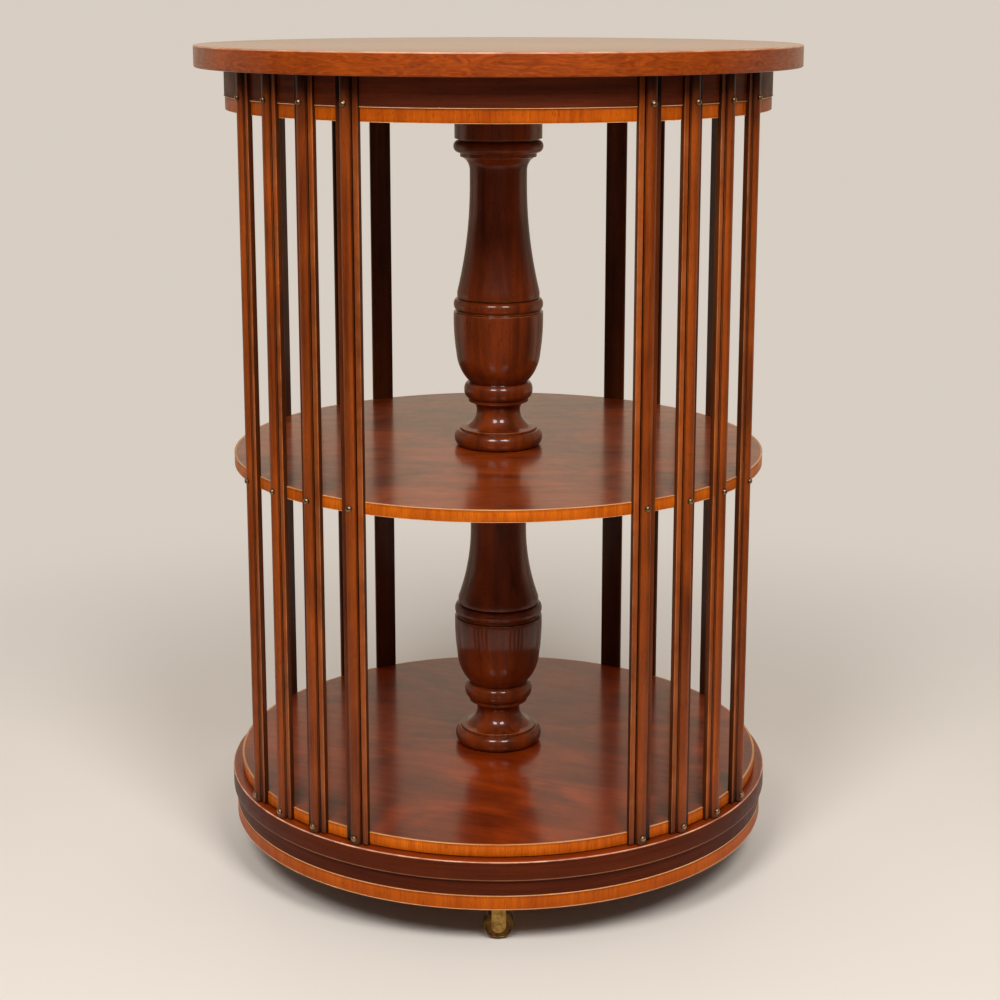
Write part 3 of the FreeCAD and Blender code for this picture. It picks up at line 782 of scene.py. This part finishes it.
# Each moulding is (kind, radius at its top, height of its top, how far it stands off), in mm: a line,
# a half round, or a gentle curve.
balusterLook = {
    "foot": 36.7,
    "base": [
        ("round", 36.7, 15.5, 5.5),     # torus
        ("line", 36.7, 18, 0),
        ("line", 34.5, 18, 0),
        ("round", 28.7, 43, -10.4),     # scotia
        ("line", 28.7, 46.5, 0),
        ("round", 28.9, 61.5, 4.1),     # bulb
        ("line", 27, 61.5, 0),
        ("curve", 40.2, 89.5, 2.9),     # bowl
        ("curve", 42.6, 129.5, 0.9),
        ("line", 40, 129.5, 0),
        ("line", 40, 131, 0),
        ("line", 39, 131, 0),
        ("round", 39, 142.5, 3.6),      # bead ring
        ("line", 37.5, 142.5, 0),
        ("line", 37.5, 143.6, 0),
        ("line", 39.2, 143.6, 0),
        ("line", 39.2, 148.4, 0),
    ],
    "vaseHollow": -3.0,
    "neck": 27,
    "neckHeight": 12,
    "head": [                            # heights count down from the board above
        ("curve", 34.5, 46, -2.4),       # cove
        ("line", 36, 46, 0),
        ("line", 36, 42.2, 0),
        ("line", 37, 42.2, 0),
        ("round", 37, 30.4, 5.3),        # capital torus
        ("line", 37.5, 30.4, 0),
        ("line", 37.5, 29, 0),
        ("line", 41.2, 29, 0),
        ("line", 41.2, 0, 0),
    ],
    "cove": 60.5,
    "seatGap": 0.2,          # clear of the boards above and below
    "footEdge": 1,           # the rounding at the foot stays within this
    "arris": 0.5,
    "steps": 112,
    "roundSteps": 14,
    "curveSteps": 12,
    "vaseSteps": 26,
}


# Points after start along a gentle curve that stands off the straight line by rise.
def curvePoints(start, end, rise, count):
    first, last = Vector(start), Vector(end)
    along = last - first
    outward = Vector((along.y, -along.x)).normalized()
    made = []
    for step in range(1, count + 1):
        share = step / count
        arch = 4 * share * (1 - share)
        made.append(tuple(first.lerp(last, share) + outward * rise * arch))
    return made


# Points after start round half an ellipse, as a torus or scotia is cut.
def halfRound(start, end, rise, count):
    made = []
    for step in range(1, count + 1):
        turn = math.pi * step / count
        share = (1 - math.cos(turn)) / 2
        radius = start[0] + (end[0] - start[0]) * share + rise * math.sin(turn)
        made.append((radius, start[1] + (end[1] - start[1]) * share))
    return made


def addMouldings(outline, mouldings, heightOf, look):
    for kind, radius, height, rise in mouldings:
        end = (radius, heightOf(height))
        if kind == "line":
            outline.append(end)
        elif kind == "round":
            outline.extend(halfRound(outline[-1], end, rise, look["roundSteps"]))
        else:
            outline.extend(curvePoints(outline[-1], end, rise, look["curveSteps"]))


# The base and the head are the same on both balusters, and the vase between them fills the height.
def makeBaluster(name, node, floor, ceiling, look):
    tall = (ceiling - floor) / mm
    gap = look["seatGap"]
    outline = [(0, gap), (look["foot"] - look["footEdge"], gap), (look["foot"], gap)]
    addMouldings(outline, look["base"], lambda height: height, look)
    neckFoot = tall - look["cove"] - look["neckHeight"]
    outline.extend(curvePoints(outline[-1], (look["neck"], neckFoot), look["vaseHollow"], look["vaseSteps"]))
    outline.append((look["neck"], tall - look["cove"]))
    addMouldings(outline, look["head"], lambda height: tall - height, look)
    outline[-1] = (outline[-1][0], tall - gap)
    outline.append((0, tall - gap))
    rounded = roundCorners(outline, look["arris"])
    metres = [(radius * mm, floor + height * mm, mark) for radius, height, mark in rounded]
    piece = lathe(name, metres, look["steps"])
    finishAs(piece, "case", turnedWood, "mahogany", node)


lowerFloor = levelsOf("bottom_shelf")[1]
lowerCeiling, upperFloor = levelsOf("mid_shelf")
makeBaluster("turned_lower_baluster", "lower_baluster", lowerFloor, lowerCeiling, balusterLook)
makeBaluster("turned_upper_baluster", "upper_baluster", upperFloor, soffit, balusterLook)
print("balusters made")


# Plinth.

plinthLook = {
    "wall": 12 * mm,
    "arris": 1.4 * mm,
    "band": 12.5 * mm,
    "bandDepth": 0.8 * mm,
    "string": 0.8 * mm,
    "darkLine": 0.8 * mm,
    "footString": 0.6 * mm,
    "footProud": 0.1 * mm,   # how far a string stands below the ring's foot
    "lineDepth": 2 * mm,     # the lines under the rim are let in this deep
    "lineSink": 0.05 * mm,   # and lie this far inside its face
    "proud": 0.35 * mm,
    "stringProud": 0.5 * mm,
    "ledgeSlope": 0.5,       # faces of the rim that look up more than this are the ledge
    "steps": 384,
}


def plinthRing(name, outline, material, look, *replaced):
    piece = lathe(name, outline, look["steps"], closed=True)
    return finishAs(piece, "base", material, "mahogany", *replaced)


def makePlinth(look):
    bore = fasciaRadius - look["wall"]
    rimOutline = roundCorners(boxOutline(bore, rimRadius, rimFoot, ledge), look["arris"], closed=True)
    rim = plinthRing("polished_plinth_rim", rimOutline, darkWood, look, "plinth_rim")
    rim.data.materials.append(ledgeWood)
    for face in rim.data.polygons:
        if face.normal.z > look["ledgeSlope"]:
            face.material_index = 1
    fasciaOutline = boxOutline(bore, fasciaRadius, plinthFoot, rimFoot)
    fasciaOutline = roundCorners(fasciaOutline, look["arris"], closed=True)
    plinthRing("polished_plinth_fascia", fasciaOutline, darkWood, look, "plinth_fascia")

    # a tan and a dark line at the foot of the rim
    inner, outer = rimRadius - look["lineDepth"], rimRadius - look["lineSink"]
    lineTop = rimFoot + look["string"]
    upper = stringOutline(inner, outer, rimFoot - look["footProud"], lineTop, bandLook)
    plinthRing("plinth_string_upper", upper, tanString, look)
    dark = stringOutline(inner, outer, lineTop, lineTop + look["darkLine"], bandLook)
    plinthRing("plinth_string_dark", dark, ebonised, look)

    # the crossband at the foot of the fascia, between two strings
    inner, outer = fasciaRadius - look["bandDepth"], fasciaRadius + look["stringProud"]
    bandFoot, bandTop = plinthFoot + look["footString"], plinthFoot + look["band"]
    middle = stringOutline(inner, outer, bandTop, bandTop + look["string"], bandLook)
    plinthRing("plinth_string_middle", middle, boxwood, look)
    lower = stringOutline(inner, outer, plinthFoot - look["footProud"], bandFoot, bandLook)
    plinthRing("plinth_string_lower", lower, boxwood, look)
    band = bandOutline(inner, fasciaRadius + look["proud"], bandFoot, bandTop, bandLook)
    plinthRing("plinth_crossband", band, plinthBandWood, look)


makePlinth(plinthLook)
print("plinth made")


# Nodes that stay as they are and only get a material.

def dressNode(node, material):
    mesh = frame["nodes"][node].data
    mesh.materials.clear()
    mesh.materials.append(material)


dressNode("mid_shelf", shelfWood)
dressNode("bottom_shelf", lowerShelfWood)
dressNode("soffit_board", shelfWood)
dressNode("frieze_ring", friezeWood)
for hiddenNode in ("bearer_through", "bearer_cross", "top_batten_through", "top_batten_cross"):
    dressNode(hiddenNode, insideWood)
dressNode("pivot_plate", rolledSteel)
dressNode("pivot_socket", castBrass)


# Castors.

jointOf = {joint["name"]: joint for joint in frame["joints"]}
castorLook = {
    "tread": 13.9 * mm,          # wheel radius, inside its solid
    "halfWidth": 5.9 * mm,
    "bore": 2.1 * mm,
    "hub": 4.6 * mm,
    "web": 5.3 * mm,             # half thickness of the web
    "rimInner": 11.4 * mm,
    "slope": 0.6 * mm,           # width of the slopes beside the web and at the tread
    "treadDrop": 0.2 * mm,
    "wheelArris": 1.1 * mm,
    "wheelSteps": 96,
    "cheekWidth": 13 * mm,
    "cheekThickness": 2.2 * mm,
    "slot": 12.8 * mm,
    "crown": 4 * mm,
    "crownCorner": 2.2 * mm,
    "lap": 0.5 * mm,             # how far the cheeks and the pintle reach into the crown
    "plateArris": 0.6 * mm,
    "heel": 7.5 * mm,
    "crownGap": 0.3 * mm,        # running gap under the plate
    "pintle": 3.4 * mm,
    "pintleGap": 0.3 * mm,       # clear at the pintle's upper end
    "pintleSteps": 32,
    "axle": 1.95 * mm,
    "axleSteps": 24,
    "rivet": 2.8 * mm,
    "rivetRise": 0.6 * mm,
    "rivetSink": 0.3 * mm,
    "rivetBrim": 0.05 * mm,
    "rivetSteps": 24,
}


# One mesh from several scratch pieces, which are removed.
def joinParts(name, parts):
    points, faces, wear = [], [], []
    for part in parts:
        base = len(points)
        points += [vertex.co.copy() for vertex in part.data.vertices]
        faces += [[base + index for index in face.vertices] for face in part.data.polygons]
        wear += [item.value for item in part.data.attributes["wear"].data]
        bpy.data.objects.remove(part)
    return meshPiece(name, points, faces, wear)


# A flat plate over an anticlockwise outline of (x, y), with rounded arrises at both faces.
def plateMesh(name, outline, low, high, rounding, steps=3):
    arrisWear = 0.6
    count = len(outline)
    inward = []
    for index in range(count):
        along = Vector(outline[(index + 1) % count]) - Vector(outline[index - 1])
        inward.append(Vector((-along.y, along.x)).normalized())
    turns = [math.pi / 2 * step / steps for step in range(steps + 1)]
    rings = [(rounding * (1 - math.sin(turn)), low + rounding * (1 - math.cos(turn))) for turn in turns]
    rings += [(inset, low + high - height) for inset, height in reversed(rings)]
    points, faces, wear = [], [], []
    for inset, height in rings:
        for point, side in zip(outline, inward):
            spot = Vector(point) + side * inset
            points.append((spot.x, spot.y, height))
            wear.append(arrisWear if 0 < inset < rounding else 0.0)
    for ring in range(len(rings) - 1):
        for index in range(count):
            after = (index + 1) % count
            base, above = ring * count, (ring + 1) * count
            faces.append([base + index, base + after, above + after, above + index])
    faces.append(list(reversed(range(count))))
    faces.append([(len(rings) - 1) * count + index for index in range(count)])
    return meshPiece(name, points, faces, wear)


# The domed head of a rivet, upright on the axis.
def rivetMesh(look, domeSteps=5):
    radius, brim = look["rivet"], look["rivetBrim"]
    # the brim darkens as grime and painted shade where the head meets the cheek, and the crown lightens as
    # wear and a painted highlight
    profile = [(0, -look["rivetSink"], -1.0), (radius, -look["rivetSink"], -1.0), (radius, brim, -0.8)]
    for step in range(1, domeSteps + 1):
        turn = math.pi / 2 * step / domeSteps
        profile.append((radius * math.cos(turn), brim + look["rivetRise"] * math.sin(turn), math.sin(turn)))
    return lathe("rivet", profile, look["rivetSteps"])


def makeWheel(castor, look):
    joint = jointOf["castor_" + castor + "_roll"]
    half, web, slope = look["halfWidth"], look["web"], look["slope"]
    upper = [(look["hub"], half), (look["hub"] + slope, web), (look["rimInner"], web),
             (look["rimInner"] + slope, half), (look["tread"] - slope, half - look["treadDrop"])]
    outline = [(look["bore"], -half)] + [(radius, -height) for radius, height in upper]
    outline += list(reversed(upper)) + [(look["bore"], half)]
    outline = roundCorners(outline, look["wheelArris"], closed=True)
    wheel = lathe("brass_wheel_" + castor, outline, look["wheelSteps"], closed=True)
    place = Vector(joint["axis"]).to_track_quat("Z", "Y").to_matrix().to_4x4()
    wheel.data.transform(Matrix.Translation(joint["pos_m"]) @ place)
    finishAs(wheel, "wheel_" + castor, wheelBrass, "antique_brass", "castor_wheel_" + castor)


# A fork in its own frame: X runs along the trail from the pintle, and Y along the axle.
def makeFork(castor, look):
    pintle = Vector(jointOf["castor_" + castor + "_swivel"]["pos_m"])
    axle = Vector(jointOf["castor_" + castor + "_roll"]["pos_m"])
    trail = (axle - pintle).xy
    crownTop = levelsOf("castor_plate_" + castor)[0] - look["crownGap"]
    crownFoot = crownTop - look["crown"]
    arris, lap = look["plateArris"], look["lap"]
    half = look["cheekWidth"] / 2
    outer = look["slot"] / 2 + look["cheekThickness"]
    quarter = math.pi / 2
    # a cheek lies flat at first: x along the trail from the axle, y up
    cheek = [(half, crownFoot + lap), (-half, crownFoot + lap)]
    roundSteps = 16
    for step in range(roundSteps + 1):
        turn = math.pi + math.pi * step / roundSteps
        cheek.append((half * math.cos(turn), axle.z + half * math.sin(turn)))
    parts = []
    for side in (-1, 1):
        low = look["slot"] / 2 if side < 0 else -outer
        plate = plateMesh("cheek", cheek, low, low + look["cheekThickness"], arris)
        plate.data.transform(Matrix.Translation((trail.length, 0, 0)) @ Matrix.Rotation(quarter, 4, "X"))
        rivet = rivetMesh(look)
        seat = Matrix.Translation((trail.length, side * outer, axle.z))
        rivet.data.transform(seat @ Matrix.Rotation(-side * quarter, 4, "X"))
        parts += [plate, rivet]
    crown = boxOutline(-look["heel"], trail.length + half, -outer, outer)
    crown = roundCorners(crown, look["crownCorner"], steps=4, closed=True)
    parts.append(plateMesh("crown", [point[:2] for point in crown], crownFoot, crownTop, arris))
    pin = boxOutline(0, look["pintle"], crownTop - lap, pintle.z - look["pintleGap"])
    parts.append(lathe("pintle", [(radius, height, 0.0) for radius, height in pin], look["pintleSteps"]))
    shaft = boxOutline(0, look["axle"], -outer, outer)
    parts.append(lathe("axle", [(radius, height, 0.0) for radius, height in shaft], look["axleSteps"]))
    bearing = Matrix.Translation((trail.length, 0, axle.z))
    parts[-1].data.transform(bearing @ Matrix.Rotation(quarter, 4, "X"))
    fork = joinParts("brass_fork_" + castor, parts)
    turn = math.atan2(trail.y, trail.x)
    fork.data.transform(Matrix.Translation((pintle.x, pintle.y, 0)) @ Matrix.Rotation(turn, 4, "Z"))
    finishAs(fork, "fork_" + castor, castBrass, "antique_brass", "castor_fork_" + castor)


for castorName in castorNames:
    makeWheel(castorName, castorLook)
    makeFork(castorName, castorLook)
    dressNode("castor_plate_" + castorName, castBrass)
print("castors made")


# Studio.

studioLook = {
    "paper": colour(227, 219, 210),
    "backdrop": colour(216, 206, 195),
    "mirror": colour(221, 201, 175),     # the backdrop as polish and brass reflect it
    "blendStart": 0.42,          # the floor runs into the backdrop between these radii
    "blendEnd": 1.3,
    "reach": 40.0,
    "ambientFront": 0.26,        # the room behind the camera is dim
    "ambientBack": 1.0,
    "mirrorFront": 0.06,         # the same for what polish and brass reflect
    "mirrorBack": 1.0,
    "lampDistance": 2.7,
    "lampTarget": 0.4,           # height that the lamps point at
    # degrees round from the front, degrees above the floor, watts, metres across
    "lamps": [
        ("lamp_left", -20, 40, 42.0, 0.85),
        ("lamp_right", 20, 40, 42.0, 0.85),
        ("lamp_back", 180, 50, 9.0, 2.0),
    ],
}


# What the eye, glass and polish see of the backdrop. Depth runs from the front, -1, to the back, 1.
def backdropLight(tree, depth, look):
    path = addNode(tree, "ShaderNodeLightPath").outputs
    seen = mathNode(tree, "MAXIMUM", path["Is Camera Ray"], path["Is Transmission Ray"])
    mirrored = spread(tree, depth, -0.1, 0.7, look["mirrorFront"], look["mirrorBack"])
    strength = mixValue(tree, seen, mirrored, 1.0)
    tone = mixColour(tree, path["Is Glossy Ray"], look["backdrop"], look["mirror"])
    return tone, strength, mathNode(tree, "MAXIMUM", seen, path["Is Glossy Ray"])


def makeFloor(look):
    reach = look["reach"]
    points = [(-reach, -reach, 0), (reach, -reach, 0), (reach, reach, 0), (-reach, reach, 0)]
    floor = meshPiece("studio_floor", points, [[0, 1, 2, 3]])
    material, tree, shader = newMaterial("studio_paper")
    place = addNode(tree, "ShaderNodeTexCoord").outputs["Object"]
    mottling = spread(tree, noise(tree, place, 1.4, 3.0), 0.3, 0.7, 0.97, 1.0)
    feed(tree, shader.inputs["Base Color"], shadeColour(tree, look["paper"], mottling))
    shader.inputs["Roughness"].default_value = 0.9
    shader.inputs["Specular IOR Level"].default_value = 0.05
    distance = addNode(tree, "ShaderNodeVectorMath", {0: place}, operation="LENGTH").outputs["Value"]
    far = addNode(tree, "ShaderNodeMapRange", {
        "Value": distance, "From Min": look["blendStart"], "From Max": look["blendEnd"]},
        interpolation_type="SMOOTHSTEP").outputs[0]
    depth = addNode(tree, "ShaderNodeSeparateXYZ", {0: place}).outputs[1]
    tone, strength, seen = backdropLight(tree, depth, look)
    glow = addNode(tree, "ShaderNodeEmission", {"Color": tone, "Strength": strength}).outputs[0]
    share = mathNode(tree, "MULTIPLY", far, seen)
    mix = addNode(tree, "ShaderNodeMixShader", {0: share, 1: shader.outputs[0], 2: glow})
    output = next(node for node in tree.nodes if node.type == "OUTPUT_MATERIAL")
    tree.links.new(mix.outputs[0], output.inputs[0])
    floor.data.materials.append(material)


def makeWorld(look):
    world = bpy.data.worlds.new("studio")
    scene.world = world
    world.use_nodes = True
    tree = world.node_tree
    background = tree.nodes["Background"]
    direction = addNode(tree, "ShaderNodeTexCoord").outputs["Generated"]
    depth = addNode(tree, "ShaderNodeSeparateXYZ", {0: direction}).outputs[1]
    ambient = spread(tree, depth, -0.3, 0.8, look["ambientFront"], look["ambientBack"])
    tone, backdrop, seen = backdropLight(tree, depth, look)
    feed(tree, background.inputs["Color"], tone)
    feed(tree, background.inputs["Strength"], mixValue(tree, seen, ambient, backdrop))


def softLamp(name, turn, height, power, size, look):
    lamp = bpy.data.lights.new(name, "AREA")
    lamp.shape = "DISK"
    lamp.size = size
    lamp.energy = power
    rise, side = math.radians(height), math.radians(turn)
    target = Vector((0, 0, look["lampTarget"]))
    toLamp = Vector((math.sin(side) * math.cos(rise), -math.cos(side) * math.cos(rise), math.sin(rise)))
    holder = addObject(name, lamp)
    holder.location = target + toLamp * look["lampDistance"]
    holder.rotation_euler = (-toLamp).to_track_quat("-Z", "Y").to_euler()


makeFloor(studioLook)
makeWorld(studioLook)
for lampSettings in studioLook["lamps"]:
    softLamp(*lampSettings, studioLook)

cameraLook = {
    "distance": 1.87,
    "height": 0.825,
    "pitch": 11.68,          # degrees below level
    "focal": 71.55,          # this and the sensor's width are in mm
    "sensor": 36,
    "shiftUp": -0.095,
    "shiftRight": 0.0016,
    "clipEnd": 100,
}


def makeCamera(look):
    data = bpy.data.cameras.new("camera")
    data.lens = look["focal"]
    data.sensor_width = look["sensor"]
    data.shift_x = look["shiftRight"]
    data.shift_y = look["shiftUp"]
    data.clip_end = look["clipEnd"]
    camera = addObject("camera", data)
    camera.location = (0, -look["distance"], look["height"])
    camera.rotation_euler = (math.radians(90 - look["pitch"]), 0, 0)
    scene.camera = camera


makeCamera(cameraLook)
scene.view_settings.view_transform = "Standard"
print("studio made")
